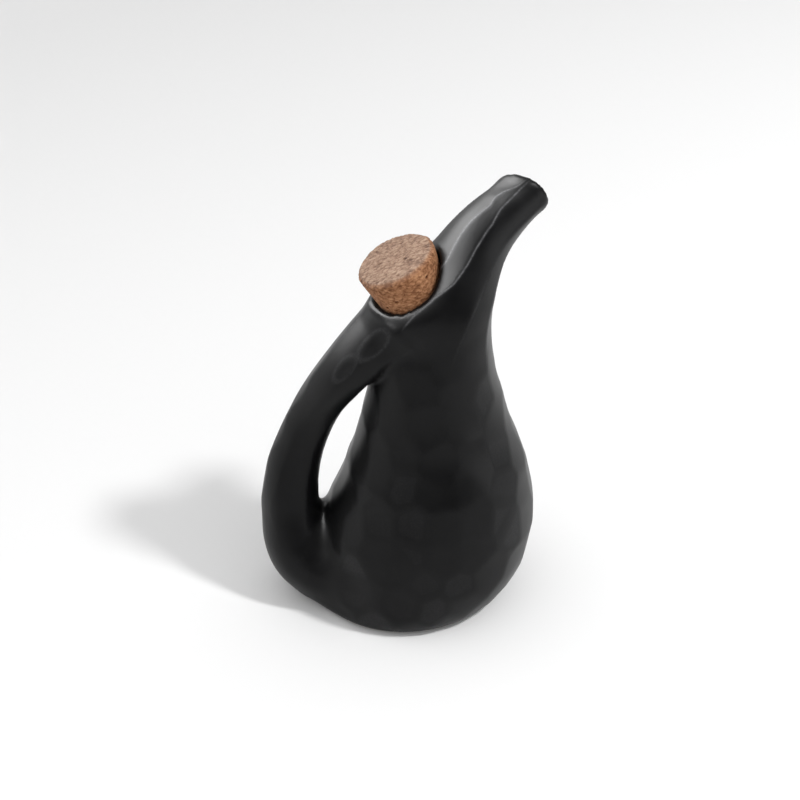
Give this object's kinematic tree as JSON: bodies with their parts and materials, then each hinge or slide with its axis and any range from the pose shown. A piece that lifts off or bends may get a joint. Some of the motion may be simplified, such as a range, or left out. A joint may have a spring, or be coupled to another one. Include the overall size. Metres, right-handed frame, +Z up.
{
  "type": "oil cruet",
  "caption": "Hand-formed black stoneware oil cruet: teardrop bowl that leans into a pouring spout, side loop handle, and a tapered cork stopper in a tilted filler hole.",
  "frame": {"origin": "middle of the flat foot, on the surface the cruet stands on", "axes": "+Z up, +X towards the spout, +Y to the left of someone who looks along +X; the handle is on the -X side"},
  "size_m": [0.1265, 0.0908, 0.2009],
  "materials": {
    "black_glaze": "satin black glaze over hand-faceted stoneware",
    "natural_cork": "agglomerated natural cork, cut and sanded, unsealed"
  },
  "bodies": {
    "vessel": {"foot_disc": "black_glaze", "bowl_wall": "black_glaze", "neck_wall": "black_glaze", "spout": "black_glaze", "handle": "black_glaze"},
    "cork": {"cork_stopper": "natural_cork"}
  },
  "joints": [
    {"name": "cork_pull", "type": "slide", "parent": "vessel", "child": "cork", "axis": [-0.4067, 0, 0.9135], "range_m": [0, 0.06]}
  ]
}
